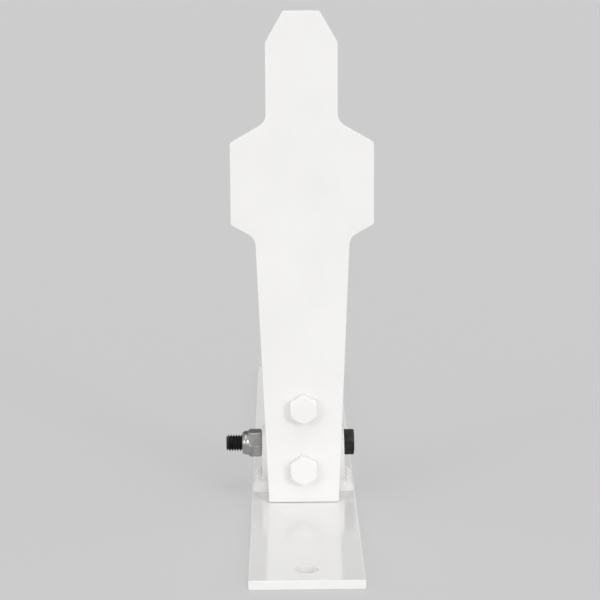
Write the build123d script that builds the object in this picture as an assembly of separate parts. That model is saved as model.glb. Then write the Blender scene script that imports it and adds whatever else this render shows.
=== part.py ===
from build123d import *
import math
import os

# A knock-down steel target. A silhouette plate is bolted to a hinge bracket, which swings on one
# pivot bolt between two ears welded to a long flat base bar.
# Millimetres, +Z up, +Y towards the back, origin at the centre of the base bar's underside.

# Base bar
BASE_LENGTH = 609.6
BASE_WIDTH = 76.2
BASE_THICKNESS = 6.35
BASE_LONG_EDGE_RADIUS = 1.2
BASE_END_EDGE_RADIUS = 0.6
STAKE_HOLE_DIAMETER = 15.5
STAKE_HOLE_INSET = 22.2

# Silhouette plate: heights are measured from its foot
PLATE_THICKNESS = 9.5
PLATE_SETBACK = 171.4
PLATE_FOOT_GAP = 0.3
PLATE_HEIGHT = 354.5
CROWN_HALF_WIDTH = 12.7
HEAD_HALF_WIDTH = 25.4
TORSO_HALF_WIDTH = 50.8
STEM_HALF_WIDTH = 33.6
FOOT_HALF_WIDTH = 25.4
TORSO_TOP_HEIGHT = 262.4
TORSO_FOOT_HEIGHT = 204.4
SLOPE_DEGREES = 30.0
OUTER_CORNER_RADIUS = 2.8
INNER_CORNER_RADIUS = 9.0
FOOT_CORNER_RADIUS = 2.0
PLATE_EDGE_RADIUS = 0.6

# Half-inch fasteners
BOLT_DIAMETER = 12.7
HEX_SIZE_RATIO = 1.5
HEAD_THICKNESS = 7.9
NUT_THICKNESS = 11.1
WASHER_RIM = 6.75
WASHER_THICKNESS = 2.4
SPRING_WASHER_RIM = 3.95
SPRING_WASHER_THICKNESS = 3.2
SPRING_WASHER_GAP = 1.5
HOLE_CLEARANCE = 0.4
THREAD_CLEARANCE = 0.05
BOLT_END_CHAMFER = 1.2
HEX_CHAMFER_DEPTH = 1.0
HEX_CHAMFER_WIDTH = 0.6

# Plate bolts: heights are measured from the plate's foot
LOWER_BOLT_HEIGHT = 25.1
BOLT_SPACING = 45.5
PLATE_BOLT_END = 7.1
UPPER_HEAD_TURN = 4.0
LOWER_HEAD_TURN = 5.5

# Pivot and ears: heights are measured from the base bar's top
PIVOT_SETBACK = 59.4
PIVOT_HEIGHT = 29.3
EAR_WIDTH = 50.8
EAR_HEIGHT = 42.1
EAR_THICKNESS = 6.35
EAR_EDGE_RADIUS = 0.5
WELD_LEG = 6.8
WELD_TO_BASE_EDGE = 0.75
PIVOT_BOLT_END = 12.1
PIVOT_HEAD_TURN = 16.5

# Pivot lock nut
LOCK_HEX_THICKNESS = 10.7
LOCK_COLLAR_THICKNESS = 4.2
LOCK_COLLAR_WALL = 1.4
LOCK_COLLAR_ROUNDING = 1.2
LOCK_COLLAR_LIP = 0.6
LOCK_INSERT_WALL = 1.3
LOCK_INSERT_THICKNESS = 3.0
LOCK_NUT_TURN = 26.5

# Hinge bracket, bent from one strip: heights are measured from the plate's foot
BRACKET_THICKNESS = 4.8
BRACKET_FOOT_HEIGHT = 9.0
BRACKET_TOP_HEIGHT = 87.0
BRACKET_BEND_RADIUS = 3.5
BRACKET_WASHER_MARGIN = 0.3
BRACKET_SHOULDER_DEPTH = 12.0
BRACKET_EYE_RIM = 5.0
SLEEVE_WALL = 3.1
SLEEVE_RUNNING_CLEARANCE = 0.08
THRUST_WASHER_RIM = 5.95
THRUST_WASHER_THICKNESS = 1.6
SIDE_PLAY = 0.3
SLEEVE_WELD_LEG = 3.0

# How far a cutting tool runs past the face it opens, and how closely corners are matched
CUT_OVERRUN = 1.0
MATCH_TOLERANCE = 0.01

# Places that follow from the sizes above
BASE_TOP = BASE_THICKNESS
PLATE_FRONT = -BASE_LENGTH / 2 + PLATE_SETBACK
PLATE_BACK = PLATE_FRONT + PLATE_THICKNESS
PLATE_FOOT = BASE_TOP + PLATE_FOOT_GAP
PIVOT_Y = PLATE_FRONT + PIVOT_SETBACK
PIVOT_Z = BASE_TOP + PIVOT_HEIGHT
BOLT_RADIUS = BOLT_DIAMETER / 2
HOLE_RADIUS = BOLT_RADIUS + HOLE_CLEARANCE
NUT_BORE_RADIUS = BOLT_RADIUS + THREAD_CLEARANCE
LOCK_INSERT_RADIUS = NUT_BORE_RADIUS + LOCK_INSERT_WALL
LOCK_NUT_THICKNESS = LOCK_HEX_THICKNESS + LOCK_COLLAR_THICKNESS
LOCK_INSERT_START = LOCK_NUT_THICKNESS - LOCK_COLLAR_LIP - LOCK_INSERT_THICKNESS
SLEEVE_BORE_RADIUS = BOLT_RADIUS + SLEEVE_RUNNING_CLEARANCE
SLEEVE_RADIUS = SLEEVE_BORE_RADIUS + SLEEVE_WALL
BRACKET_EYE_RADIUS = SLEEVE_RADIUS + BRACKET_EYE_RIM
EAR_OUTER = BASE_WIDTH / 2 - WELD_TO_BASE_EDGE - WELD_LEG
EAR_INNER = EAR_OUTER - EAR_THICKNESS
PIVOT_BOLT_LENGTH = 2 * EAR_OUTER + LOCK_NUT_THICKNESS + PIVOT_BOLT_END
PLATE_BOLT_LENGTH = (
    PLATE_THICKNESS
    + BRACKET_THICKNESS
    + WASHER_THICKNESS
    + SPRING_WASHER_THICKNESS
    + NUT_THICKNESS
    + PLATE_BOLT_END
)
BRACKET_HALF_WIDTH = EAR_INNER - THRUST_WASHER_THICKNESS - SIDE_PLAY
BRACKET_INNER_HALF_WIDTH = BRACKET_HALF_WIDTH - BRACKET_THICKNESS
WASHER_RADIUS = HOLE_RADIUS + WASHER_RIM
BRACKET_BEND_ROOM = BRACKET_INNER_HALF_WIDTH - WASHER_RADIUS - BRACKET_WASHER_MARGIN
BRACKET_INSIDE_BEND = min(BRACKET_BEND_RADIUS, BRACKET_BEND_ROOM)
WEB_BACK = PLATE_BACK + BRACKET_THICKNESS
SLOPE = math.radians(SLOPE_DEGREES)

FROM_FRONT = Plane(origin=(0, 0, 0), x_dir=(1, 0, 0), z_dir=(0, -1, 0))
FROM_RIGHT = Plane(origin=(0, 0, 0), x_dir=(0, 1, 0), z_dir=(1, 0, 0))


def bar_on_pivot(radius, start_x, end_x):
    """A round bar on the pivot's axis between two stations along X."""
    middle = (start_x + end_x) / 2
    return Pos(middle, PIVOT_Y, PIVOT_Z) * Rot(0, 90, 0) * Cylinder(radius, end_x - start_x)


def hole_along_x(radius, start_x, end_x):
    """A cutter on the pivot's axis that opens everything between two faces."""
    return bar_on_pivot(radius, start_x - CUT_OVERRUN, end_x + CUT_OVERRUN)


def hole_along_y(radius, start_y, end_y, z):
    """A cutter along Y on the centre plane that opens everything between two faces."""
    middle = (start_y + end_y) / 2
    length = end_y - start_y + 2 * CUT_OVERRUN
    return Pos(0, middle, z) * Rot(-90, 0, 0) * Cylinder(radius, length)


def hole_along_z(radius, thickness):
    """A cutter that opens a disc or plate standing on the origin plane."""
    return Pos(0, 0, thickness / 2) * Cylinder(radius, thickness + 2 * CUT_OVERRUN)


def standing_disc(radius, thickness):
    """A round disc that stands on the origin plane."""
    return extrude(Circle(radius), thickness)


def hexagon_prism(thickness):
    """A hexagon with a corner on +X, standing on the origin plane, both rims rounded off by cones."""
    corner_radius = HEX_SIZE_RATIO * BOLT_DIAMETER / math.sqrt(3)
    prism = extrude(RegularPolygon(corner_radius, 6), thickness)
    rims = standing_disc(corner_radius, thickness)
    rim_edges = rims.edges().filter_by(GeomType.CIRCLE)
    return prism & chamfer(rim_edges, length=HEX_CHAMFER_WIDTH, length2=HEX_CHAMFER_DEPTH)


def hex_bolt(length):
    """A hex bolt whose head stands on the origin plane, with its shank running down along -Z."""
    head = hexagon_prism(HEAD_THICKNESS)
    shank = Pos(0, 0, -length) * standing_disc(BOLT_RADIUS, length)
    shank = chamfer(shank.edges().filter_by(GeomType.CIRCLE).sort_by(Axis.Z)[0], BOLT_END_CHAMFER)
    return head + shank


def ring(outer_radius, inner_radius, thickness):
    """A flat ring standing on the origin plane."""
    outline = Circle(outer_radius) - Circle(inner_radius)
    return extrude(outline, thickness)


def plate_outline():
    """The silhouette, symmetric about the centre line, with its sharp corners as points."""
    shoulder_rise = (TORSO_HALF_WIDTH - HEAD_HALF_WIDTH) * math.tan(SLOPE)
    hip_drop = (TORSO_HALF_WIDTH - STEM_HALF_WIDTH) * math.tan(SLOPE)
    crown_drop = (HEAD_HALF_WIDTH - CROWN_HALF_WIDTH) / math.tan(SLOPE)
    right_side = [
        (FOOT_HALF_WIDTH, 0),
        (STEM_HALF_WIDTH, TORSO_FOOT_HEIGHT - hip_drop),
        (TORSO_HALF_WIDTH, TORSO_FOOT_HEIGHT),
        (TORSO_HALF_WIDTH, TORSO_TOP_HEIGHT),
        (HEAD_HALF_WIDTH, TORSO_TOP_HEIGHT + shoulder_rise),
        (HEAD_HALF_WIDTH, PLATE_HEIGHT - crown_drop),
        (CROWN_HALF_WIDTH, PLATE_HEIGHT),
    ]
    left_side = [(-x, z) for x, z in reversed(right_side)]
    corners = right_side + left_side
    return make_face(Polyline(*corners, close=True)), right_side


def near(vertices, points):
    """The vertices whose height and side match any of the points on the right side or its mirror."""
    return [
        vertex
        for vertex in vertices
        if any(max(abs(abs(vertex.X) - x), abs(vertex.Y - z)) < MATCH_TOLERANCE for x, z in points)
    ]


def target_plate():
    """The silhouette plate with its two bolt holes."""
    face, side = plate_outline()
    foot, stem, hip, torso, neck, temple, crown = side
    face = fillet(near(face.vertices(), [foot]), FOOT_CORNER_RADIUS)
    face = fillet(near(face.vertices(), [stem, neck]), INNER_CORNER_RADIUS)
    face = fillet(near(face.vertices(), [hip, torso, temple, crown]), OUTER_CORNER_RADIUS)
    placed = Plane(origin=(0, PLATE_BACK, PLATE_FOOT), x_dir=(1, 0, 0), z_dir=(0, -1, 0)) * face
    plate = extrude(placed, PLATE_THICKNESS)
    rims = plate.faces().sort_by(Axis.Y)
    plate = fillet(rims[0].edges() + rims[-1].edges(), PLATE_EDGE_RADIUS)
    for height in plate_bolt_heights():
        plate -= hole_along_y(HOLE_RADIUS, PLATE_FRONT, PLATE_BACK, height)
    return plate


def plate_bolt_heights():
    """Heights of the lower and the upper plate bolt."""
    lower = PLATE_FOOT + LOWER_BOLT_HEIGHT
    return [lower, lower + BOLT_SPACING]


def base_plate():
    """The flat base bar with a stake hole near each end."""
    bar = Pos(0, 0, BASE_THICKNESS / 2) * Box(BASE_WIDTH, BASE_LENGTH, BASE_THICKNESS)
    bar = fillet(bar.edges().filter_by(Axis.Y), BASE_LONG_EDGE_RADIUS)
    ends = bar.faces().filter_by(Axis.Y)
    bar = fillet(ends[0].edges() + ends[1].edges(), BASE_END_EDGE_RADIUS)
    for y in stake_hole_places():
        bar -= Pos(0, y, 0) * hole_along_z(STAKE_HOLE_DIAMETER / 2, BASE_THICKNESS)
    return bar


def stake_hole_places():
    """Stations of the front and the rear stake hole."""
    reach = BASE_LENGTH / 2 - STAKE_HOLE_INSET
    return [-reach, reach]


def right_ear():
    """A round-topped ear standing on the base bar, drilled for the pivot bolt."""
    half = EAR_WIDTH / 2
    straight = EAR_HEIGHT - half
    profile = Pos(PIVOT_Y, BASE_TOP + straight / 2) * Rectangle(EAR_WIDTH, straight)
    profile += Pos(PIVOT_Y, BASE_TOP + straight) * Circle(half)
    profile &= Pos(PIVOT_Y, BASE_TOP + EAR_HEIGHT / 2) * Rectangle(EAR_WIDTH, EAR_HEIGHT)
    ear = Pos(EAR_INNER, 0, 0) * extrude(FROM_RIGHT * profile, EAR_THICKNESS)
    sides = ear.faces().filter_by(Axis.X)
    rims = [edge for side in sides for edge in side.edges() if edge.center().Z > BASE_TOP + MATCH_TOLERANCE]
    ear = fillet(rims, EAR_EDGE_RADIUS)
    return ear - hole_along_x(HOLE_RADIUS, EAR_INNER, EAR_OUTER)


def right_ear_weld():
    """The fillet weld round the ear's front end, outer side and rear end."""
    foot = Pos((EAR_INNER + EAR_OUTER + WELD_LEG) / 2, PIVOT_Y, BASE_TOP) * Rectangle(
        EAR_THICKNESS + WELD_LEG, EAR_WIDTH + 2 * WELD_LEG
    )
    top = Pos((EAR_INNER + EAR_OUTER) / 2, PIVOT_Y, BASE_TOP + WELD_LEG) * Rectangle(
        EAR_THICKNESS, EAR_WIDTH
    )
    bead = loft([foot, top])
    core = Pos((EAR_INNER + EAR_OUTER) / 2, PIVOT_Y, BASE_TOP + WELD_LEG / 2) * Box(
        EAR_THICKNESS, EAR_WIDTH, WELD_LEG + 2 * CUT_OVERRUN
    )
    return bead - core


def left(solid):
    """The mirror image on the left of the centre plane."""
    return mirror(solid, about=Plane.YZ)


def pivot_bolt():
    """The pivot bolt, with its head on the right ear."""
    place = Pos(EAR_OUTER, PIVOT_Y, PIVOT_Z) * Rot(0, 90, 0)
    return place * Rot(0, 0, 90 - PIVOT_HEAD_TURN) * hex_bolt(PIVOT_BOLT_LENGTH)


def pivot_lock_nut():
    """The lock nut on the left ear: a hexagon with a domed collar that holds the insert."""
    collar = standing_disc(LOCK_INSERT_RADIUS + LOCK_COLLAR_WALL, LOCK_NUT_THICKNESS)
    collar = fillet(collar.edges().filter_by(GeomType.CIRCLE).sort_by(Axis.Z)[-1], LOCK_COLLAR_ROUNDING)
    pocket = Pos(0, 0, LOCK_INSERT_START) * standing_disc(LOCK_INSERT_RADIUS, LOCK_NUT_THICKNESS)
    bore = hole_along_z(NUT_BORE_RADIUS, LOCK_NUT_THICKNESS)
    nut = hexagon_prism(LOCK_HEX_THICKNESS) + collar - pocket - bore
    return lock_nut_place() * nut


def pivot_nut_insert():
    """The nylon ring that sits in the lock nut's collar."""
    insert = ring(LOCK_INSERT_RADIUS, NUT_BORE_RADIUS, LOCK_INSERT_THICKNESS)
    return lock_nut_place() * Pos(0, 0, LOCK_INSERT_START) * insert


def lock_nut_place():
    """Where the lock nut stands on the left ear, turned as it was tightened."""
    return Pos(-EAR_OUTER, PIVOT_Y, PIVOT_Z) * Rot(0, -90, 0) * Rot(0, 0, LOCK_NUT_TURN)


def right_thrust_washer():
    """The washer between the right ear and the bracket."""
    washer = ring(HOLE_RADIUS + THRUST_WASHER_RIM, HOLE_RADIUS, THRUST_WASHER_THICKNESS)
    return Pos(EAR_INNER, PIVOT_Y, PIVOT_Z) * Rot(0, -90, 0) * washer


def bracket_side_profile():
    """The bracket seen from the right: a tall web strip drawn in to a round eye at the pivot."""
    strip_height = BRACKET_TOP_HEIGHT - BRACKET_FOOT_HEIGHT
    strip = Pos(
        PLATE_BACK + BRACKET_SHOULDER_DEPTH / 2,
        PLATE_FOOT + BRACKET_FOOT_HEIGHT + strip_height / 2,
    ) * Rectangle(BRACKET_SHOULDER_DEPTH, strip_height)
    eye = Pos(PIVOT_Y, PIVOT_Z) * Circle(BRACKET_EYE_RADIUS)
    return make_hull(strip.edges() + eye.edges())


def hinge_bracket():
    """The U-shaped bracket: its web lies on the plate's back and its two cheeks reach the pivot."""
    depth = PIVOT_Y + BRACKET_EYE_RADIUS - PLATE_BACK
    middle_y = PLATE_BACK + depth / 2
    outer = Pos(0, middle_y) * Rectangle(2 * BRACKET_HALF_WIDTH, depth)
    front_corners = outer.vertices().group_by(Axis.Y)[0]
    outer = fillet(front_corners, BRACKET_INSIDE_BEND + BRACKET_THICKNESS)
    inner = Pos(0, middle_y + BRACKET_THICKNESS) * Rectangle(2 * BRACKET_INNER_HALF_WIDTH, depth)
    inner = fillet(inner.vertices().group_by(Axis.Y)[0], BRACKET_INSIDE_BEND)
    channel = extrude(Pos(0, 0, PLATE_FOOT) * (outer - inner), BRACKET_TOP_HEIGHT)
    side = extrude(FROM_RIGHT * bracket_side_profile(), BRACKET_HALF_WIDTH + CUT_OVERRUN, both=True)
    bracket = channel & side
    bracket -= hole_along_x(SLEEVE_RADIUS, -BRACKET_HALF_WIDTH, BRACKET_HALF_WIDTH)
    for height in plate_bolt_heights():
        bracket -= hole_along_y(HOLE_RADIUS, PLATE_BACK, WEB_BACK, height)
    return bracket


def pivot_sleeve():
    """The tube that turns on the pivot bolt, let through both cheeks."""
    tube = bar_on_pivot(SLEEVE_RADIUS, -BRACKET_HALF_WIDTH, BRACKET_HALF_WIDTH)
    return tube - hole_along_x(SLEEVE_BORE_RADIUS, -BRACKET_HALF_WIDTH, BRACKET_HALF_WIDTH)


def right_sleeve_weld():
    """The ring weld between the sleeve and the right cheek, on the inside of the bracket."""
    cheek = BRACKET_INNER_HALF_WIDTH
    start = Plane(origin=(cheek, PIVOT_Y, PIVOT_Z), x_dir=(0, 1, 0), z_dir=(-1, 0, 0))
    cone = start * Cone(
        SLEEVE_RADIUS + SLEEVE_WELD_LEG,
        SLEEVE_RADIUS,
        SLEEVE_WELD_LEG,
        align=(Align.CENTER, Align.CENTER, Align.MIN),
    )
    return cone - hole_along_x(SLEEVE_RADIUS, cheek - SLEEVE_WELD_LEG, cheek)


def plate_bolt(height, turn):
    """A plate bolt with its head on the plate's front face and a corner up, turned a little."""
    facing = Plane(origin=(0, PLATE_FRONT, height), x_dir=(0, 0, 1), z_dir=(0, -1, 0))
    return facing * Rot(0, 0, turn) * hex_bolt(PLATE_BOLT_LENGTH)


def behind_web(height, offset):
    """A plane behind the bracket's web, facing back, at a bolt's height."""
    return Plane(origin=(0, WEB_BACK + offset, height), x_dir=(0, 0, 1), z_dir=(0, 1, 0))


def plate_washer(height):
    """The flat washer on the bracket's web."""
    washer = ring(WASHER_RADIUS, HOLE_RADIUS, WASHER_THICKNESS)
    return behind_web(height, 0) * washer


def plate_spring_washer(height):
    """The split spring washer, pressed flat, with its gap upwards."""
    radius = HOLE_RADIUS + SPRING_WASHER_RIM
    washer = ring(radius, HOLE_RADIUS, SPRING_WASHER_THICKNESS)
    depth = SPRING_WASHER_THICKNESS + 2 * CUT_OVERRUN
    split = Pos(radius, 0, SPRING_WASHER_THICKNESS / 2) * Box(2 * radius, SPRING_WASHER_GAP, depth)
    return behind_web(height, WASHER_THICKNESS) * (washer - split)


def plate_nut(height, turn):
    """The hex nut behind the spring washer."""
    nut = hexagon_prism(NUT_THICKNESS) - hole_along_z(NUT_BORE_RADIUS, NUT_THICKNESS)
    return behind_web(height, WASHER_THICKNESS + SPRING_WASHER_THICKNESS) * Rot(0, 0, turn) * nut


def all_parts():
    """Every sub-part by its name."""
    ear, weld, thrust = right_ear(), right_ear_weld(), right_thrust_washer()
    sleeve_weld = right_sleeve_weld()
    parts = {
        "base_plate": base_plate(),
        "right_ear": ear,
        "left_ear": left(ear),
        "right_ear_weld": weld,
        "left_ear_weld": left(weld),
        "pivot_bolt": pivot_bolt(),
        "pivot_lock_nut": pivot_lock_nut(),
        "pivot_nut_insert": pivot_nut_insert(),
        "right_thrust_washer": thrust,
        "left_thrust_washer": left(thrust),
        "target_plate": target_plate(),
        "hinge_bracket": hinge_bracket(),
        "pivot_sleeve": pivot_sleeve(),
        "right_sleeve_weld": sleeve_weld,
        "left_sleeve_weld": left(sleeve_weld),
    }
    turns = [LOWER_HEAD_TURN, UPPER_HEAD_TURN]
    for name, height, turn in zip(["lower", "upper"], plate_bolt_heights(), turns):
        parts[name + "_plate_bolt"] = plate_bolt(height, turn)
        parts[name + "_plate_washer"] = plate_washer(height)
        parts[name + "_spring_washer"] = plate_spring_washer(height)
        parts[name + "_plate_nut"] = plate_nut(height, turn)
    return parts


os.makedirs("parts", exist_ok=True)
for part_name, solid in all_parts().items():
    export_step(solid, "parts/" + part_name + ".step")
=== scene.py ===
import logging
import math
from dataclasses import dataclass, field
from enum import Enum
from typing import Any, Callable, Iterable

import bmesh
import bpy
from mathutils import Matrix, Vector


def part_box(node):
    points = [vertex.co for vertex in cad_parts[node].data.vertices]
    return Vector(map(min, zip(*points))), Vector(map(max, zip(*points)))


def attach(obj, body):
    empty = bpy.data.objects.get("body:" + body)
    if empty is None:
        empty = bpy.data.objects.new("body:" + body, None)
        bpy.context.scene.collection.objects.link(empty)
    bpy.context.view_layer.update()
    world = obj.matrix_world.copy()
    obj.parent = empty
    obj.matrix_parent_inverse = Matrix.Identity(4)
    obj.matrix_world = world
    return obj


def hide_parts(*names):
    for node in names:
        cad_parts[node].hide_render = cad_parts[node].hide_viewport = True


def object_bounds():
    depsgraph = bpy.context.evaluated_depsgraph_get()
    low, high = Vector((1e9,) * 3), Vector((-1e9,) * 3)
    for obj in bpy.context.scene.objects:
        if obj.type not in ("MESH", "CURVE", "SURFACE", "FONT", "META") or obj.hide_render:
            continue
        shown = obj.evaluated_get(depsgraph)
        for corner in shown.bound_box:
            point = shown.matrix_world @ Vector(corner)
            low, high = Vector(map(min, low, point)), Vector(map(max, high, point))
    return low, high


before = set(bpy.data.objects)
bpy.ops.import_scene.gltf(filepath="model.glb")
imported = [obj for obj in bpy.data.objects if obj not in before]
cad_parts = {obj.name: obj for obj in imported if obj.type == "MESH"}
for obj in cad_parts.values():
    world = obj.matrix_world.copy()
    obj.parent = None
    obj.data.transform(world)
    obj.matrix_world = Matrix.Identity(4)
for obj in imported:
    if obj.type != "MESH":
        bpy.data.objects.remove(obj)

LOG = logging.getLogger("popper")
Colour = tuple[float, float, float, float]
Profile = list[tuple[float, float]]
Offsets = tuple[tuple[float, float], ...]
Route = Callable[[float], tuple[Vector, Vector, Vector]]
MM = 0.001
MERGE = 0.0005 * MM
ROUND_TURN = 72
UP = Vector((0, 0, 1))
CAD_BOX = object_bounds()


class Slot(Enum):
    """The record's material slots."""

    COAT = "white_powder_coat"
    BLACK = "black_oxide_steel"
    ZINC = "zinc_plated_steel"
    NYLON = "nylon_insert"


class Body(Enum):
    """The bodies that pieces ride on."""

    BASE = "base"
    TARGET = "target"


# ---------------------------------------------------------------- shader maths


class Tree:
    """A node tree, with one method that makes any node."""

    def __init__(self, tree: bpy.types.NodeTree) -> None:
        """Takes over a tree and empties it.

        Args:
            tree: a material's or a world's tree.
        """
        self.tree = tree
        self.tree.nodes.clear()

    def node(
        self, kind: str, settings: dict[str, Any] | None = None, **sockets: Any
    ) -> bpy.types.Node:
        """Makes a node.

        Args:
            kind: the node's type, such as ShaderNodeMath.
            settings: properties that are set first.
            **sockets: input values or links. An underscore stands for a space in a socket's
                name, and a number after an underscore for a socket's place.

        Returns:
            The new node.
        """
        made = self.tree.nodes.new(kind)
        for key, value in (settings or {}).items():
            setattr(made, key, value)
        for key, value in sockets.items():
            place = int(key[1:]) if key.startswith("_") else key.replace("_", " ")
            self.feed(made.inputs[place], value)
        return made

    def feed(self, socket: bpy.types.NodeSocket, value: Any) -> None:
        """Links or sets one input.

        Args:
            socket: the input.
            value: a Value, an output socket or a plain number, colour or vector.
        """
        if isinstance(value, Value):
            value = value.socket
        if isinstance(value, bpy.types.NodeSocket):
            self.tree.links.new(value, socket)
        else:
            socket.default_value = value

    def ramp(self, factor: Any, stops: Iterable[tuple[float, Colour]]) -> bpy.types.NodeSocket:
        """A colour ramp.

        Args:
            factor: what runs along the ramp, a Value or an output socket.
            stops: places and colours in rising order.

        Returns:
            The ramp's colour output.
        """
        made = self.node("ShaderNodeValToRGB", None, Fac=factor)
        elements = made.color_ramp.elements
        for index, (place, colour) in enumerate(stops):
            element = elements[index] if index < len(elements) else elements.new(place)
            element.position = place
            element.color = colour
        return made.outputs["Color"]


class Shader(Tree):
    """A material and its node tree."""

    def __init__(self, name: str) -> None:
        """Starts a material with an empty tree.

        Args:
            name: the material's name.
        """
        self.material = bpy.data.materials.new(name)
        self.material.use_nodes = True
        super().__init__(self.material.node_tree)

    def noise(
        self, scale: float, detail: float = 2.0, stretch: tuple[float, float, float] = (1, 1, 1)
    ) -> "Value":
        """Noise on object coordinates.

        Args:
            scale: how many features there are in a metre.
            detail: octaves.
            stretch: scale along each axis, relative to the others.

        Returns:
            The noise, from 0 to 1.
        """
        place = self.node("ShaderNodeTexCoord").outputs["Object"]
        mapped = self.node("ShaderNodeMapping", None, Vector=place, Scale=stretch)
        made = self.node(
            "ShaderNodeTexNoise", None, Vector=mapped.outputs["Vector"], Scale=scale, Detail=detail
        )
        return Value(self, made.outputs["Fac"])

    def bump(self, height: "Value", distance: float) -> bpy.types.NodeSocket:
        """A bump that feeds a normal.

        Args:
            height: the height field, from 0 to 1.
            distance: the height of 1, in metres.

        Returns:
            The normal output.
        """
        made = self.node("ShaderNodeBump", None, Height=height, Distance=distance, Strength=1.0)
        return made.outputs["Normal"]

    def surface(self, **sockets: Any) -> bpy.types.Material:
        """Ends the tree with the standard shader.

        Args:
            **sockets: the shader's inputs, with underscores for spaces.

        Returns:
            The finished material.
        """
        shader = self.node("ShaderNodeBsdfPrincipled", None, **sockets)
        self.node("ShaderNodeOutputMaterial", None, Surface=shader.outputs["BSDF"])
        return self.material


class Value:
    """A number socket that takes part in Python arithmetic."""

    def __init__(self, tree: Tree, socket: bpy.types.NodeSocket) -> None:
        """Wraps an output socket.

        Args:
            tree: the tree that it belongs to.
            socket: the output.
        """
        self.tree = tree
        self.socket = socket

    def _math(self, operation: str, first: Any, second: Any) -> "Value":
        """One Math node."""
        made = self.tree.node("ShaderNodeMath", {"operation": operation}, _0=first, _1=second)
        return Value(self.tree, made.outputs[0])

    def __add__(self, other: "Value | float") -> "Value":
        """self + other."""
        return self._math("ADD", self, other)

    def __radd__(self, other: float) -> "Value":
        """other + self."""
        return self._math("ADD", other, self)

    def __mul__(self, other: "Value | float") -> "Value":
        """self * other."""
        return self._math("MULTIPLY", self, other)

    def __rmul__(self, other: float) -> "Value":
        """other * self."""
        return self._math("MULTIPLY", other, self)


# ---------------------------------------------------------------- finishes


@dataclass(frozen=True)
class PowderCoat:
    """Glossy white powder coat with a faint orange peel."""

    light: Colour = (0.902, 0.896, 0.887, 1.0)
    shade: Colour = (0.874, 0.868, 0.859, 1.0)
    roughness: float = 0.075
    roughness_spread: float = 0.07
    ior: float = 1.47
    gloss: float = 0.25
    gloss_roughness: float = 0.04
    cloud_size: float = 45 * MM
    peel_size: float = 1.6 * MM
    speck_size: float = 0.56 * MM
    peel_depth: float = 0.004 * MM

    def make(self, name: str = Slot.COAT.value) -> bpy.types.Material:
        """Builds the material.

        Args:
            name: the material's name.

        Returns:
            The material.
        """
        shader = Shader(name)
        clouds = shader.noise(1 / self.cloud_size, 3.0)
        peel = shader.noise(1 / self.peel_size, 2.0)
        specks = shader.noise(1 / self.speck_size, 1.0)
        colour = shader.ramp(clouds, [(0.3, self.shade), (0.62, self.light)])
        rough = self.roughness + self.roughness_spread * (clouds * 0.6 + specks * 0.4)
        height = peel * 0.8 + specks * 0.2
        return shader.surface(
            Base_Color=colour,
            Roughness=rough,
            IOR=self.ior,
            Coat_Weight=self.gloss,
            Coat_Roughness=self.gloss_roughness,
            Normal=shader.bump(height, self.peel_depth),
        )


@dataclass(frozen=True)
class BlackOxide:
    """Black oxide on steel, with a thin oil film and slightly rubbed high spots."""

    deep: Colour = (0.010, 0.010, 0.010, 1.0)
    rubbed: Colour = (0.042, 0.040, 0.037, 1.0)
    metal: float = 0.55
    roughness: float = 0.24
    roughness_spread: float = 0.22
    oil: float = 0.15
    oil_roughness: float = 0.15
    grain_size: float = 0.5 * MM
    grain_depth: float = 0.008 * MM
    blotch_size: float = 4.0 * MM

    def make(self, name: str = Slot.BLACK.value) -> bpy.types.Material:
        """Builds the material.

        Args:
            name: the material's name.

        Returns:
            The material.
        """
        shader = Shader(name)
        grain = shader.noise(1 / self.grain_size, 3.0)
        blotches = shader.noise(1 / self.blotch_size, 4.0)
        wear = blotches * 0.7 + grain * 0.3
        return shader.surface(
            Base_Color=shader.ramp(wear, [(0.38, self.deep), (0.7, self.rubbed)]),
            Metallic=self.metal,
            Roughness=self.roughness + self.roughness_spread * grain,
            Coat_Weight=self.oil,
            Coat_Roughness=self.oil_roughness,
            Normal=shader.bump(grain, self.grain_depth),
        )


@dataclass(frozen=True)
class ZincPlate:
    """Bright zinc plate with fine turning marks and a faint warm and cool cast."""

    warm: Colour = (0.39, 0.385, 0.37, 1.0)
    cool: Colour = (0.45, 0.455, 0.45, 1.0)
    roughness: float = 0.14
    roughness_spread: float = 0.07
    blotch_size: float = 5.0 * MM
    mark_size: float = 0.28 * MM
    mark_stretch: tuple[float, float, float] = (1.0, 0.12, 0.12)
    mark_depth: float = 0.003 * MM

    def make(self, name: str = Slot.ZINC.value) -> bpy.types.Material:
        """Builds the material.

        Args:
            name: the material's name.

        Returns:
            The material.
        """
        shader = Shader(name)
        blotches = shader.noise(1 / self.blotch_size, 3.0)
        marks = shader.noise(1 / self.mark_size, 2.0, self.mark_stretch)
        return shader.surface(
            Base_Color=shader.ramp(blotches, [(0.35, self.warm), (0.65, self.cool)]),
            Metallic=1.0,
            Roughness=self.roughness + self.roughness_spread * blotches,
            Normal=shader.bump(marks, self.mark_depth),
        )


@dataclass(frozen=True)
class Nylon:
    """Natural nylon, milky and slightly waxy."""

    colour: Colour = (0.78, 0.78, 0.74, 1.0)
    worn: Colour = (0.62, 0.62, 0.58, 1.0)
    roughness: float = 0.38
    roughness_spread: float = 0.15
    grain_size: float = 0.8 * MM
    grain_depth: float = 0.01 * MM

    def make(self, name: str = Slot.NYLON.value) -> bpy.types.Material:
        """Builds the material.

        Args:
            name: the material's name.

        Returns:
            The material.
        """
        shader = Shader(name)
        grain = shader.noise(1 / self.grain_size, 3.0)
        return shader.surface(
            Base_Color=shader.ramp(grain, [(0.35, self.worn), (0.65, self.colour)]),
            Roughness=self.roughness + self.roughness_spread * grain,
            Normal=shader.bump(grain, self.grain_depth),
        )


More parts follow.
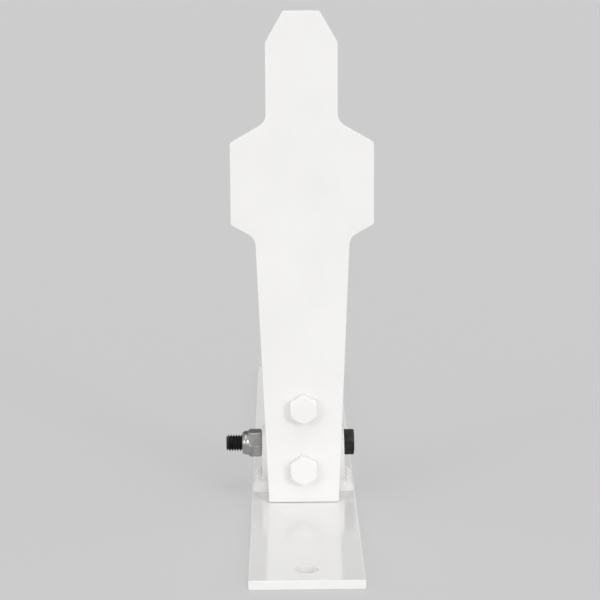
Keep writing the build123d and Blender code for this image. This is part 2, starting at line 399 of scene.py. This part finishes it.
@dataclass(frozen=True)
class StudioFloor:
    """The plain pale floor: a lit sweep whose own faint glow evens out the shadows on it."""

    colour: Colour = (0.30, 0.30, 0.30, 1.0)
    roughness: float = 0.9
    shine: float = 0.1
    glow_colour: Colour = (1.0, 1.0, 1.0, 1.0)
    glow: float = 0.347

    def make(self, name: str = "studio_floor") -> bpy.types.Material:
        """Builds the material.

        Args:
            name: the material's name.

        Returns:
            The material.
        """
        return Shader(name).surface(
            Base_Color=self.colour,
            Roughness=self.roughness,
            Specular_IOR_Level=self.shine,
            Emission_Color=self.glow_colour,
            Emission_Strength=self.glow,
        )


class Paintbox:
    """One material for each slot, made once."""

    def __init__(self) -> None:
        """Makes the finishes."""
        self.materials = {
            Slot.COAT: PowderCoat().make(),
            Slot.BLACK: BlackOxide().make(),
            Slot.ZINC: ZincPlate().make(),
            Slot.NYLON: Nylon().make(),
        }

    def dress(self, piece: bpy.types.Object, slot: Slot) -> None:
        """Gives a piece its finish.

        Args:
            piece: a new piece or a CAD node.
            slot: the record's slot.
        """
        if piece.data.materials:
            piece.data.materials[0] = self.materials[slot]
        else:
            piece.data.materials.append(self.materials[slot])


# ---------------------------------------------------------------- mesh helpers


@dataclass(frozen=True)
class Seat:
    """Where a turned piece stands: a point, the way it points and what is up on it."""

    origin: Vector
    axis: Vector
    up: Vector
    turn_degrees: float = 0.0

    def matrix(self) -> Matrix:
        """The placing matrix: local Z along the axis, local X along up, turned about the axis.

        Returns:
            The matrix.
        """
        z = self.axis.normalized()
        x = (self.up - z * self.up.dot(z)).normalized()
        y = z.cross(x)
        rotation = Matrix((x, y, z)).transposed().to_4x4()
        turn = Matrix.Rotation(math.radians(self.turn_degrees), 4, "Z")
        return Matrix.Translation(self.origin) @ rotation @ turn


def settle(elements: Any, place: Callable[[Any], Vector]) -> None:
    """Sorts elements by place, because the operators' own order changes from run to run.

    Args:
        elements: a bmesh's vertices or faces.
        place: gives an element's place.
    """
    ranked = sorted(elements, key=lambda item: [round(part / MERGE) for part in place(item)])
    order = {item: index for index, item in enumerate(ranked)}
    elements.sort(key=order.get)


def finish_mesh(
    bm: bmesh.types.BMesh, name: str, place: Matrix | None = None, smooth_degrees: float = 35.0
) -> bpy.types.Object:
    """Turns a bmesh into a finished object at the origin.

    Args:
        bm: the mesh, which is freed.
        name: the piece's name.
        place: a matrix that is applied to the mesh.
        smooth_degrees: edges flatter than this are shaded smooth.

    Returns:
        The new object.
    """
    if place is not None:
        bmesh.ops.transform(bm, matrix=place, verts=bm.verts)
    bmesh.ops.remove_doubles(bm, verts=bm.verts, dist=MERGE)
    bmesh.ops.recalc_face_normals(bm, faces=bm.faces)
    settle(bm.verts, lambda vert: vert.co)
    settle(bm.faces, lambda face: face.calc_center_median())
    limit = math.radians(smooth_degrees)
    for face in bm.faces:
        face.smooth = True
    for edge in bm.edges:
        if len(edge.link_faces) == 2:
            edge.smooth = edge.calc_face_angle() < limit
    mesh = bpy.data.meshes.new(name)
    bm.to_mesh(mesh)
    bm.free()
    made = bpy.data.objects.new(name, mesh)
    bpy.context.scene.collection.objects.link(made)
    return made


def stand_in(
    piece: bpy.types.Object, body: Body, slot: Slot, paints: Paintbox, *nodes: str
) -> None:
    """Makes a new piece stand for CAD nodes, ride on a body and take its finish.

    Args:
        piece: the new piece.
        body: what it rides on.
        slot: its finish.
        paints: the finishes.
        *nodes: the CAD nodes that it replaces.
    """
    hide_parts(*nodes)
    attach(piece, body.value)
    paints.dress(piece, slot)
    LOG.info("piece %s: %d faces", piece.name, len(piece.data.polygons))


def centre(node: str) -> Vector:
    """The middle of a CAD node's box."""
    low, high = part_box(node)
    return (low + high) / 2


# ---------------------------------------------------------------- fasteners


@dataclass
class Thread:
    """A rolled thread that runs up local Z."""

    radius: float = 6.35 * MM
    pitch: float = 25.4 / 13 * MM
    depth: float = 1.3 * MM
    steps: int = 40
    point_slope: float = 1.1
    # One pitch from root to root: how far each point is below the crest, as a share of the
    # depth, and how far it is along, as a share of the pitch.
    form: Offsets = (
        (1.0, 0.0),
        (1.0, 0.12),
        (0.1, 0.47),
        (0.0, 0.50),
        (0.0, 0.58),
        (0.1, 0.61),
        (1.0, 0.96),
        (1.0, 1.0),
    )

    def build(self, bm: bmesh.types.BMesh, start: float, end: float, point: float) -> None:
        """Adds the thread from start to end, with a flat start and a flat chamfered end.

        Args:
            bm: the mesh to add to.
            start: where the thread begins on local Z.
            end: where the bolt ends on local Z.
            point: the length of the end's cone.
        """
        turns = math.ceil((end - start) / self.pitch) + 2
        base = start - self.pitch
        crest, depth, pitch = self.radius, self.depth, self.pitch
        profile = [(crest - below * depth, base + along * pitch) for below, along in self.form]
        spin_profile(bm, profile, self.steps, turns, self.pitch)
        bmesh.ops.remove_doubles(bm, verts=bm.verts, dist=4 * MERGE)
        for height, outer in ((start, False), (end, True)):
            cut = bmesh.ops.bisect_plane(
                bm,
                geom=bm.verts[:] + bm.edges[:] + bm.faces[:],
                dist=0.2 * MERGE,
                plane_co=(0, 0, height),
                plane_no=(0, 0, 1),
                clear_outer=outer,
                clear_inner=not outer,
            )
            rim = [item for item in cut["geom_cut"] if isinstance(item, bmesh.types.BMEdge)]
            bmesh.ops.contextual_create(bm, geom=rim)
        for vert in bm.verts:
            cone = self.radius - max(0.0, vert.co.z - (end - point)) * self.point_slope
            reach = vert.co.xy.length
            if reach > cone:
                vert.co.xy *= cone / reach


@dataclass(frozen=True)
class Hexagon:
    """A hexagonal prism with a corner on local X, its rims turned off by flat cones."""

    across_flats: float
    low: float
    high: float
    lower_cone: float = 0.0
    upper_cone: float = 30.0
    segments: int = 144
    cone_start: float = 0.955
    corner_limit: float = 0.975
    crisp_degrees: float = 22.0
    soft_edge: float = 0.22 * MM

    def reach(self, angle: float) -> float:
        """How far the outline is from the axis in a direction, with slightly blunt corners.

        Args:
            angle: the direction, in radians from local X.

        Returns:
            The distance.
        """
        sixth = math.tau / 6
        from_flat = (angle % sixth) - sixth / 2
        flat = self.across_flats / 2
        corner = flat / math.cos(sixth / 2)
        return min(flat / math.cos(from_flat), corner * self.corner_limit)

    def build(self, bm: bmesh.types.BMesh, bore: float = 0.0, sink: float = 0.0) -> None:
        """Grows the prism from one circle: end face, cone, sides, cone and end face.

        Args:
            bm: the mesh, still empty.
            bore: the radius of a hole through it, or 0 for closed ends.
            sink: the depth and width of the hole's countersinks.
        """
        rim = self.cone_start * self.across_flats / 2
        start = bore + sink if bore else rim
        bmesh.ops.create_circle(bm, cap_ends=False, segments=self.segments, radius=start)
        bmesh.ops.translate(bm, vec=(0, 0, self.high), verts=bm.verts)
        first = edges = bm.edges[:]
        if bore:
            edges = self.ring(bm, edges, rim, self.high)
        edges = self.outline(bm, edges, rim, self.high, -self.upper_cone)
        edges = self.outline(bm, edges, rim, self.low, self.lower_cone)
        edges = self.ring(bm, edges, rim, self.low)
        if bore:
            edges = self.ring(bm, edges, start, self.low)
            edges = self.ring(bm, edges, bore, self.low + sink)
            edges = self.ring(bm, edges, bore, self.high - sink)
            bmesh.ops.bridge_loops(bm, edges=edges + first)
        else:
            bmesh.ops.contextual_create(bm, geom=edges)
            bmesh.ops.contextual_create(bm, geom=first)
        bmesh.ops.recalc_face_normals(bm, faces=bm.faces)
        crisp = math.radians(self.crisp_degrees)
        bmesh.ops.bevel(
            bm,
            geom=[edge for edge in bm.edges if edge.calc_face_angle(0.0) > crisp],
            offset=self.soft_edge,
            segments=3,
            affect="EDGES",
            profile=0.5,
            material=-1,
            clamp_overlap=True,
        )

    def ring(
        self, bm: bmesh.types.BMesh, edges: list[Any], radius: float, height: float
    ) -> list[Any]:
        """Grows the loop to a round ring.

        Args:
            bm: the mesh.
            edges: the loop.
            radius: the ring's radius.
            height: its height on local Z.

        Returns:
            The new loop's edges.
        """
        edges, verts = grow(bm, edges)
        for vert in verts:
            vert.co.xy = vert.co.xy.normalized() * radius
            vert.co.z = height
        return edges

    def outline(
        self, bm: bmesh.types.BMesh, edges: list[Any], rim: float, height: float, cone: float
    ) -> list[Any]:
        """Grows the loop to the hexagon, whose corners drop along a cone.

        Args:
            bm: the mesh.
            edges: the loop.
            rim: the radius where the cone starts.
            height: the end face's height on local Z.
            cone: the cone's slope in degrees, negative where the corners drop.

        Returns:
            The new loop's edges.
        """
        edges, verts = grow(bm, edges)
        slope = math.tan(math.radians(cone))
        for vert in verts:
            way = vert.co.xy.normalized()
            out = self.reach(math.atan2(way.y, way.x))
            vert.co.xy = way * out
            vert.co.z = height + slope * (out - rim)
        return edges


def grow(bm: bmesh.types.BMesh, edges: list[Any]) -> tuple[list[Any], list[Any]]:
    """Extrudes a loop of edges in place.

    Args:
        bm: the mesh.
        edges: the loop.

    Returns:
        The new loop's edges and its vertices.
    """
    step = bmesh.ops.extrude_edge_only(bm, edges=edges)["geom"]
    verts = [item for item in step if isinstance(item, bmesh.types.BMVert)]
    lines = [item for item in step if isinstance(item, bmesh.types.BMEdge)]
    fresh = set(verts)
    return [line for line in lines if fresh.issuperset(line.verts)], verts


def spin_profile(
    bm: bmesh.types.BMesh, profile: Profile, steps: int, turns: int = 1, climb: float = 0.0
) -> None:
    """Spins a (radius, height) profile round local Z.

    Args:
        bm: the mesh to add to.
        profile: the points, in order.
        steps: facets in a full turn.
        turns: how many turns it makes.
        climb: how far it rises in a turn. Where it doesn't rise, the turn closes on itself.
    """
    points = [bm.verts.new((radius, 0, height)) for radius, height in profile]
    edges = [bm.edges.new(pair) for pair in zip(points, points[1:])]
    bmesh.ops.spin(
        bm,
        geom=points + edges,
        cent=(0, 0, 0),
        axis=(0, 0, 1),
        dvec=(0, 0, climb / steps),
        angle=turns * math.tau,
        steps=turns * steps,
        use_merge=not climb,
        use_duplicate=False,
    )


def merge_into(bm: bmesh.types.BMesh, other: bmesh.types.BMesh) -> None:
    """Adds another mesh to this one and frees it.

    Args:
        bm: the mesh to add to.
        other: the mesh to add.
    """
    bmesh.ops.recalc_face_normals(other, faces=other.faces)
    mesh = bpy.data.meshes.new("part")
    other.to_mesh(mesh)
    other.free()
    bm.from_mesh(mesh)
    bpy.data.meshes.remove(mesh)


@dataclass
class HexBolt:
    """A hex bolt that points down local Z, with its head on the origin plane."""

    seat: Seat
    length: float
    thread_length: float
    across_flats: float = 19.05 * MM
    head: float = 7.9 * MM
    soft_edge: float = 0.22 * MM
    sunk: float = 0.0
    lap: float = 0.002 * MM
    neck: float = 0.6 * MM
    runout: float = 0.3 * MM
    point: float = 1.3 * MM
    shank_steps: int = 64
    smooth_degrees: float = 24.0
    thread: Thread = field(default_factory=Thread)

    def build(self, name: str) -> bpy.types.Object:
        """Makes the bolt.

        Args:
            name: the piece's name.

        Returns:
            The object.
        """
        bm = bmesh.new()
        Hexagon(self.across_flats, -self.sunk, self.head, soft_edge=self.soft_edge).build(bm)
        shank = self.thread.radius
        plain = self.length - self.thread_length
        profile = [
            (0, -self.lap),
            (shank, -self.lap),
            (shank, -plain),
            (shank - self.thread.depth, -plain - self.neck),
            (0, -plain - self.neck),
        ]
        below = bmesh.new()
        spin_profile(below, profile, self.shank_steps)
        merge_into(bm, below)
        screw = bmesh.new()
        self.thread.build(screw, plain + self.runout, self.length, self.point)
        bmesh.ops.transform(screw, matrix=Matrix.Rotation(math.pi, 4, "X"), verts=screw.verts)
        merge_into(bm, screw)
        return finish_mesh(bm, name, self.seat.matrix(), self.smooth_degrees)


@dataclass
class HexNut:
    """A hex nut that stands on the origin plane, with its bore on local Z."""

    seat: Seat
    thickness: float
    across_flats: float = 19.05 * MM
    bore: float = 6.4 * MM
    sink: float = 0.8 * MM
    lower_cone: float = 30.0
    smooth_degrees: float = 24.0

    def build(self, name: str) -> bpy.types.Object:
        """Makes the nut.

        Args:
            name: the piece's name.

        Returns:
            The object.
        """
        bm = bmesh.new()
        hexagon = Hexagon(self.across_flats, 0.0, self.thickness, self.lower_cone)
        hexagon.build(bm, self.bore, self.sink)
        return finish_mesh(bm, name, self.seat.matrix(), self.smooth_degrees)


@dataclass
class LockNut:
    """The lock nut: a hexagon under a collar whose lip is rolled in over the insert."""

    seat: Seat
    hexagon: float
    total: float
    across_flats: float = 19.05 * MM
    bore: float = 6.4 * MM
    sink: float = 0.4 * MM
    insert: float = 7.7 * MM
    collar: float = 9.1 * MM
    lower_cone: float = 42.0
    upper_cone: float = 47.0
    smooth_degrees: float = 40.0
    # The collar's section in millimetres, in four runs: its foot and its shoulder from the
    # collar's radius, then its lip and its inner foot from the insert's radius. The feet are
    # measured up from the hexagon's top, the shoulder and the lip from the nut's top.
    foot: Offsets = ((0.45, -0.9), (0.2, 0.25), (0.0, 0.7))
    shoulder: Offsets = ((-0.05, -2.4), (-0.2, -1.6), (-0.5, -0.9), (-0.85, -0.35))
    lip: Offsets = ((0.35, 0.0), (-0.35, -0.05), (-0.5, -0.45), (-0.2, -0.75), (0.0, -1.1))
    inner_foot: Offsets = ((0.0, -0.1),)

    def section(self) -> Profile:
        """The collar's closed section.

        Returns:
            The points, the first one again at the end.
        """
        runs = (
            (self.collar, self.hexagon, self.foot),
            (self.collar, self.total, self.shoulder),
            (self.insert, self.total, self.lip),
            (self.insert, self.hexagon, self.inner_foot),
        )
        points = [
            (radius + out * MM, height + up * MM) for radius, height, run in runs for out, up in run
        ]
        return points + points[:1]

    def build(self, name: str) -> bpy.types.Object:
        """Makes the nut.

        Args:
            name: the piece's name.

        Returns:
            The object.
        """
        bm = bmesh.new()
        hexagon = Hexagon(self.across_flats, 0.0, self.hexagon, self.lower_cone, self.upper_cone)
        hexagon.build(bm, self.bore, self.sink)
        collar = bmesh.new()
        spin_profile(collar, self.section(), ROUND_TURN)
        merge_into(bm, collar)
        return finish_mesh(bm, name, self.seat.matrix(), self.smooth_degrees)


@dataclass
class NylonRing:
    """The ring in the lock nut's collar, bulged a little where the thread pushed through."""

    seat: Seat
    outer: float = 7.6 * MM
    inner: float = 5.9 * MM
    low: float = 11.6 * MM
    high: float = 14.1 * MM
    crown: float = 0.25 * MM
    crown_half_width: float = 0.4 * MM
    smooth_degrees: float = 50.0

    def build(self, name: str) -> bpy.types.Object:
        """Makes the ring.

        Args:
            name: the piece's name.

        Returns:
            The object.
        """
        middle = (self.outer + self.inner) / 2
        edge = self.high - self.crown
        profile = [
            (self.inner, self.low),
            (self.outer, self.low),
            (self.outer, edge),
            (middle + self.crown_half_width, self.high),
            (middle - self.crown_half_width, self.high),
            (self.inner, edge),
            (self.inner, self.low),
        ]
        bm = bmesh.new()
        spin_profile(bm, profile, ROUND_TURN)
        return finish_mesh(bm, name, self.seat.matrix(), self.smooth_degrees)


# ---------------------------------------------------------------- weld beads


def scale(phase: float, fall: float, rise: float) -> float:
    """One of a row of overlapping scales: it rises at once and falls away along its length.

    Args:
        phase: how many scales along the row this is.
        fall: the power of the falling side.
        rise: how many times faster than a scale's length it rises.

    Returns:
        The height, from 0 to 1.
    """
    along = phase - math.floor(phase)
    return (1 - along) ** fall * min(1.0, along * rise)


@dataclass
class WeldBead:
    """A rippled fillet bead laid along a path at the foot of a wall."""

    leg: float
    smooth_ends: float = 0.0
    ripple: float = 6.1 * MM
    ripple_depth: float = 0.36 * MM
    ripple_lean: float = 0.9
    ripple_skew: float = 0.25
    ripple_fall: float = 0.7
    ripple_rise: float = 9.0
    lump: float = 12.2 * MM
    lump_depth: float = 0.7 * MM
    lump_lean: float = 0.35
    lump_skew: float = 0.1
    lump_fall: float = 0.8
    lump_rise: float = 12.0
    smooth_lump: float = 0.6
    slow_wave: float = 7.3 * MM
    quick_wave: float = 3.1 * MM
    wave_mix: float = 1.3
    end_reach: float = 0.66
    reach_gain: float = 0.24
    wobble_gain: float = 0.07
    ripple_gain: float = 0.03
    taper: float = 1.2 * MM
    fade: float = 2.0 * MM
    fullness: float = 2.0
    swell_power: float = 0.6
    lift_share: float = 0.71
    across: int = 14
    fewest: int = 24
    step: float = 0.28 * MM
    smooth_degrees: float = 45.0

    def section(self, distance: float, from_end: float, share: float) -> tuple[float, float]:
        """One point of the bead's face.

        Args:
            distance: how far along the bead it is.
            from_end: how far it is from the nearer end.
            share: how far round the face it is, 0 at the toe and 1 on the wall.

        Returns:
            How far the point is out from the root and how far up.
        """
        angle = share * math.pi / 2
        bulge = math.sin(angle * 2)
        ends = min(1.0, from_end / self.taper)
        rough = min(1.0, max(0.0, from_end - self.smooth_ends) / self.fade)
        phase = distance / self.ripple + self.ripple_lean * bulge - self.ripple_skew * share
        ripple = scale(phase, self.ripple_fall, self.ripple_rise)
        phase = distance / self.lump + self.lump_lean * bulge - self.lump_skew * share
        lump = scale(phase, self.lump_fall, self.lump_rise)
        lump = lump * rough + self.smooth_lump * (1 - rough)
        wave = distance / self.slow_wave + self.wave_mix * math.sin(distance / self.quick_wave)
        wobble = 0.5 + 0.5 * math.sin(wave)
        gain = self.reach_gain + self.wobble_gain * wobble + self.ripple_gain * ripple
        reach = self.leg * (self.end_reach + ends * gain)
        lift = (self.ripple_depth * ripple * rough + self.lump_depth * lump) * ends
        lift *= self.lift_share * max(0.0, bulge) ** self.swell_power
        out = reach * math.cos(angle) ** self.fullness + lift
        up = reach * math.sin(angle) ** self.fullness + lift
        return out, up

    def build(self, name: str, path: Route, length: float) -> bpy.types.Object:
        """Lays the bead: a grid is rolled into a tube along the path, its loops rise and fall
        with each ripple, and its open ends are capped. On a ring the ends meet instead.

        Args:
            name: the piece's name.
            path: gives the root point, the outward way and the way up at a distance along it.
            length: the path's length.

        Returns:
            The object.
        """
        bm = bmesh.new()
        along = max(self.fewest, int(length / self.step))
        rows = self.across + 2
        bmesh.ops.create_grid(bm, x_segments=along, y_segments=rows, size=0.5)
        for vert in bm.verts:
            distance = (vert.co.x + 0.5) * length
            row = round((vert.co.y + 0.5) * rows)
            root, out, up = path(distance)
            if row in (0, rows):
                vert.co = root
                continue
            from_end = min(distance, length - distance)
            share = (row - 1) / self.across
            reach, height = self.section(distance, from_end, share)
            vert.co = root + out * reach + up * height
        bmesh.ops.remove_doubles(bm, verts=bm.verts, dist=MERGE)
        open_edges = [edge for edge in bm.edges if edge.is_boundary]
        bmesh.ops.holes_fill(bm, edges=open_edges, sides=0)
        return finish_mesh(bm, name, None, self.smooth_degrees)


@dataclass
class EarWelds:
    """The beads round the feet of both ears, smooth across the ears' ends and rippled along
    their sides."""

    leg: float = 6.8 * MM
    smooth_ends: float = 6.0 * MM
    bend: float = 0.9 * MM

    def route(self, node: str, side: int) -> tuple[Route, float]:
        """The bead's path: across the ear's front end, along its outer side, across its rear end.

        Args:
            node: the ear.
            side: 1 for the right ear, -1 for the left.

        Returns:
            The path and its length.
        """
        low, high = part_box(node)
        inner, outer = (low.x, high.x) if side > 0 else (high.x, low.x)
        across = abs(outer - inner) - self.bend
        run = high.y - low.y - 2 * self.bend
        quarter = self.bend * math.pi / 2

        def path(distance: float) -> tuple[Vector, Vector, Vector]:
            """The root point, the outward way and the way up at a distance."""
            if distance < across:
                return Vector((inner + side * distance, low.y, low.z)), Vector((0, -1, 0)), UP
            distance -= across
            if distance < quarter:
                turn = distance / self.bend
                out = Vector((side * math.sin(turn), -math.cos(turn), 0))
                middle = Vector((outer - side * self.bend, low.y + self.bend, low.z))
                return middle + out * self.bend, out, UP
            distance -= quarter
            if distance < run:
                root = Vector((outer, low.y + self.bend + distance, low.z))
                return root, Vector((side, 0, 0)), UP
            distance -= run
            if distance < quarter:
                turn = distance / self.bend
                out = Vector((side * math.cos(turn), math.sin(turn), 0))
                middle = Vector((outer - side * self.bend, high.y - self.bend, low.z))
                return middle + out * self.bend, out, UP
            distance -= quarter
            root = Vector((outer - side * (self.bend + distance), high.y, low.z))
            return root, Vector((0, 1, 0)), UP

        return path, 2 * across + 2 * quarter + run

    def build(self, paints: Paintbox) -> None:
        """Makes and dresses both beads.

        Args:
            paints: the finishes.
        """
        for side, ear in ((1, "right_ear"), (-1, "left_ear")):
            path, length = self.route(ear, side)
            bead = WeldBead(self.leg, self.smooth_ends)
            piece = bead.build(ear + "_weld_bead", path, length)
            stand_in(piece, Body.BASE, Slot.COAT, paints, ear + "_weld")


@dataclass
class SleeveWelds:
    """The ring beads where the pivot sleeve passes through the bracket's cheeks."""

    leg: float = 3.0 * MM
    ripple: float = 1.9 * MM
    ripple_depth: float = 0.2 * MM
    across: int = 9

    def route(self, node: str, side: int) -> tuple[Route, float]:
        """The bead's path: once round the sleeve, on the cheek.

        Args:
            node: the weld.
            side: 1 for the right cheek, -1 for the left.

        Returns:
            The path and its length.
        """
        low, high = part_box("pivot_sleeve")
        middle = centre("pivot_sleeve")
        radius = (high.z - low.z) / 2
        box_low, box_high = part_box(node)
        middle.x = box_high.x if side > 0 else box_low.x

        def path(distance: float) -> tuple[Vector, Vector, Vector]:
            """The root point, the way out from the sleeve and the way along it."""
            turn = distance / radius
            out = Vector((0, math.cos(turn), math.sin(turn)))
            return middle + out * radius, out, Vector((-side, 0, 0))

        return path, math.tau * radius

    def build(self, paints: Paintbox) -> None:
        """Makes and dresses both beads.

        Args:
            paints: the finishes.
        """
        bead = WeldBead(
            self.leg,
            ripple=self.ripple,
            ripple_depth=self.ripple_depth,
            lump_depth=0.0,
            across=self.across,
        )
        for side, node in ((1, "right_sleeve_weld"), (-1, "left_sleeve_weld")):
            path, length = self.route(node, side)
            piece = bead.build(node + "_bead", path, length)
            stand_in(piece, Body.TARGET, Slot.COAT, paints, node)


# ---------------------------------------------------------------- sub-assemblies


@dataclass
class BaseAssembly:
    """The base bar, its ears and the pivot's fixed hardware."""

    pivot_head_turn: float = 73.5
    lock_nut_turn: float = 26.5
    lock_hexagon: float = 10.7 * MM
    pivot_thread_length: float = 31.75 * MM
    coated: tuple[str, ...] = ("base_plate", "left_ear", "right_ear")
    plated: tuple[str, ...] = ("left_thrust_washer", "right_thrust_washer")

    def build(self, paints: Paintbox) -> None:
        """Dresses the bar and the ears and makes the beads and the pivot hardware.

        Args:
            paints: the finishes.
        """
        for node in self.coated:
            paints.dress(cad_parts[node], Slot.COAT)
        for node in self.plated:
            paints.dress(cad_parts[node], Slot.ZINC)
        EarWelds().build(paints)
        self.pivot(paints)

    def pivot(self, paints: Paintbox) -> None:
        """Makes the pivot bolt, its lock nut and the nylon ring.

        Args:
            paints: the finishes.
        """
        middle = centre("pivot_sleeve")
        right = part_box("right_ear")[1].x
        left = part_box("left_ear")[0].x
        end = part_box("pivot_bolt")[0].x
        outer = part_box("pivot_lock_nut")[0].x
        at_head = Vector((right, middle.y, middle.z))
        bolt_seat = Seat(at_head, Vector((1, 0, 0)), -UP, self.pivot_head_turn)
        bolt = HexBolt(bolt_seat, right - end, self.pivot_thread_length)
        stand_in(bolt.build("pivot_bolt_threaded"), Body.BASE, Slot.BLACK, paints, "pivot_bolt")
        at_nut = Vector((left, middle.y, middle.z))
        nut_seat = Seat(at_nut, Vector((-1, 0, 0)), UP, self.lock_nut_turn)
        nut = LockNut(nut_seat, self.lock_hexagon, left - outer).build("pivot_lock_nut_rolled")
        stand_in(nut, Body.BASE, Slot.ZINC, paints, "pivot_lock_nut")
        ring = NylonRing(nut_seat).build("pivot_nut_ring")
        stand_in(ring, Body.BASE, Slot.NYLON, paints, "pivot_nut_insert")


@dataclass
class TargetAssembly:
    """The silhouette plate, its hinge bracket and the plate bolts."""

    head_turns: dict[str, float] = field(default_factory=lambda: {"lower": 5.5, "upper": 4.0})
    plate_thread_length: float = 25.0 * MM
    paint_edge: float = 0.38 * MM
    coated: tuple[str, ...] = ("target_plate", "hinge_bracket", "pivot_sleeve")

    def build(self, paints: Paintbox) -> None:
        """Dresses the plate and the bracket and makes the bolts, nuts and beads.

        Args:
            paints: the finishes.
        """
        for node in self.coated:
            paints.dress(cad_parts[node], Slot.COAT)
        SleeveWelds().build(paints)
        for row in ("lower", "upper"):
            self.fastener(row, paints)

    def fastener(self, row: str, paints: Paintbox) -> None:
        """Makes one plate bolt and its nut, and dresses its washers.

        Args:
            row: lower or upper.
            paints: the finishes.
        """
        for kind in ("_plate_washer", "_spring_washer"):
            paints.dress(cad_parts[row + kind], Slot.COAT)
        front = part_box("target_plate")[0].y
        height = centre(row + "_plate_bolt").z
        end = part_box(row + "_plate_bolt")[1].y
        turn = self.head_turns[row]
        seat = Seat(Vector((0, front, height)), Vector((0, -1, 0)), UP, turn)
        bolt = HexBolt(
            seat,
            end - front,
            self.plate_thread_length,
            soft_edge=self.paint_edge,
            sunk=self.paint_edge,
        ).build(row + "_plate_bolt_threaded")
        stand_in(bolt, Body.TARGET, Slot.COAT, paints, row + "_plate_bolt")
        low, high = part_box(row + "_plate_nut")
        seat = Seat(Vector((0, low.y, height)), Vector((0, 1, 0)), UP, turn)
        nut = HexNut(seat, high.y - low.y).build(row + "_plate_nut_cut")
        stand_in(nut, Body.TARGET, Slot.COAT, paints, row + "_plate_nut")


# ---------------------------------------------------------------- studio


@dataclass(frozen=True)
class Lamp:
    """A broad far lamp."""

    name: str
    towards: tuple[float, float, float]
    power: float
    width_degrees: float

    def build(self) -> None:
        """Adds the lamp, shining from the way it is towards."""
        data = bpy.data.lights.new(self.name, "SUN")
        data.energy = self.power
        data.angle = math.radians(self.width_degrees)
        lamp = bpy.data.objects.new(self.name, data)
        lamp.rotation_euler = Vector(self.towards).to_track_quat("Z", "Y").to_euler()
        bpy.context.scene.collection.objects.link(lamp)


@dataclass
class Studio:
    """The floor, the lights and the camera."""

    camera_from_foot: tuple[float, float, float] = (-0.01394, -1.40652, 0.42805)
    yaw: float = 0.486
    pitch: float = 11.183
    roll: float = -0.373
    lens: float = 120.65
    sensor_width: float = 36.0
    view_limit: float = 200.0
    floor_half: float = 40.0
    floor_gap: float = 0.1 * MM
    # Places on the sky and their brightness: upwards from the horizon, and out to both sides.
    dome: Offsets = ((0.0, 0.66), (0.22, 0.64), (0.29, 0.45), (0.37, 0.2), (0.95, 0.2), (1.0, 0.3))
    wings: Offsets = ((0.3, 0.0), (0.8, 0.45), (1.0, 0.5))
    lamps: tuple[Lamp, ...] = (
        Lamp("lamp_right", (0.80, -1.25, 0.52), 0.50, 14.0),
        Lamp("lamp_left", (-0.95, -1.15, 0.6), 0.25, 16.0),
        Lamp("lamp_front", (-0.05, -1.2, 0.42), 1.02, 110.0),
        Lamp("lamp_top", (0.05, -0.22, 1.0), 0.66, 60.0),
    )

    def build(self) -> None:
        """Makes the whole studio."""
        self.floor()
        self.sky()
        for lamp in self.lamps:
            lamp.build()
        self.camera()
        bpy.context.scene.view_settings.view_transform = "Standard"

    def floor(self) -> None:
        """Makes the floor just under the base bar."""
        bm = bmesh.new()
        bmesh.ops.create_grid(bm, x_segments=1, y_segments=1, size=self.floor_half)
        bmesh.ops.translate(bm, vec=(0, 0, CAD_BOX[0].z - self.floor_gap), verts=bm.verts)
        floor = finish_mesh(bm, "studio_floor")
        floor.data.materials.append(StudioFloor().make())

    def sky(self) -> None:
        """Lights the scene from a dome: pale at the horizon, dim overhead, bright at both sides."""
        world = bpy.data.worlds.new("studio")
        bpy.context.scene.world = world
        world.use_nodes = True
        sky = Tree(world.node_tree)
        way = sky.node("ShaderNodeTexCoord").outputs["Generated"]
        split = sky.node("ShaderNodeSeparateXYZ", None, Vector=way)
        side = sky.node("ShaderNodeMath", {"operation": "ABSOLUTE"}, _0=split.outputs["X"])
        height = Value(sky, sky.ramp(split.outputs["Z"], self.greys(self.dome)))
        width = Value(sky, sky.ramp(side.outputs[0], self.greys(self.wings)))
        light = sky.node("ShaderNodeBackground", None, Color=height + width)
        sky.node("ShaderNodeOutputWorld", None, Surface=light.outputs["Background"])

    def greys(self, stops: Offsets) -> list[tuple[float, Colour]]:
        """Turns places and brightnesses into a ramp's stops."""
        return [(place, (grey, grey, grey, 1.0)) for place, grey in stops]

    def camera(self) -> None:
        """Sets the camera in front of the plate, a little above it and a little to the left."""
        low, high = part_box("target_plate")
        foot = Vector(((low.x + high.x) / 2, low.y, low.z))
        data = bpy.data.cameras.new("camera")
        data.lens = self.lens
        data.sensor_width = self.sensor_width
        data.clip_end = self.view_limit
        camera = bpy.data.objects.new("camera", data)
        turn = (
            Matrix.Rotation(-math.radians(self.yaw), 4, "Z")
            @ Matrix.Rotation(math.radians(90 - self.pitch), 4, "X")
            @ Matrix.Rotation(math.radians(self.roll), 4, "Z")
        )
        camera.matrix_world = Matrix.Translation(foot + Vector(self.camera_from_foot)) @ turn
        bpy.context.scene.collection.objects.link(camera)
        bpy.context.scene.camera = camera


def main() -> None:
    """Builds the studio and the two sub-assemblies in order."""
    logging.basicConfig(level=logging.INFO, format="%(name)s: %(message)s")
    Studio().build()
    paints = Paintbox()
    BaseAssembly().build(paints)
    TargetAssembly().build(paints)


if __name__ == "__main__":
    main()
